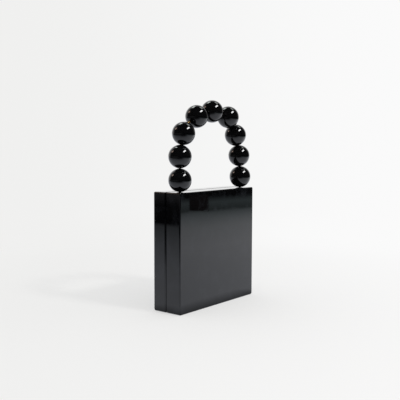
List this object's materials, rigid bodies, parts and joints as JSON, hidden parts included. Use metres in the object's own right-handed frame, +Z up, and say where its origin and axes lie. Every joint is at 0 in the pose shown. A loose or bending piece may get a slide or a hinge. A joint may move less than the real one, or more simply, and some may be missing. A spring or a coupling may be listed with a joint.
{
  "type": "clutch bag",
  "caption": "Hard box clutch bag of two hinged gloss black acrylic shells that stands on its base, with an upright arched handle of large round beads on a wire.",
  "frame": {"origin": "on the surface that the bag stands on, at the middle of its overall length and depth", "axes": "+Z up, +X to the right along the front face, -Y out of the front face"},
  "size_m": [0.136, 0.0396, 0.2315],
  "materials": {
    "shell_acrylic": "polished black cast acrylic",
    "bead_acrylic": "polished black acrylic beads",
    "brass": "satin brass"
  },
  "bodies": {
    "front": {"front_shell": "shell_acrylic", "bead_1": "bead_acrylic", "bead_2": "bead_acrylic", "bead_3": "bead_acrylic", "bead_4": "bead_acrylic", "bead_5": "bead_acrylic", "bead_6": "bead_acrylic", "bead_7": "bead_acrylic", "bead_8": "bead_acrylic", "bead_9": "bead_acrylic", "handle_wire": "brass", "wire_stop_left": "brass", "wire_stop_right": "brass", "hinge_leaf_front_left": "brass", "hinge_leaf_front_right": "brass", "hinge_pin_left": "brass", "hinge_pin_right": "brass", "clasp_tongue": "brass"},
    "back": {"back_shell": "shell_acrylic", "hinge_leaf_back_left": "brass", "hinge_leaf_back_right": "brass"}
  },
  "joints": [
    {"name": "shell_hinge", "type": "hinge", "parent": "front", "child": "back", "pos_m": [0, 0.0024, 0.00125], "axis": [-1, 0, 0], "range_deg": [0, 90]}
  ]
}
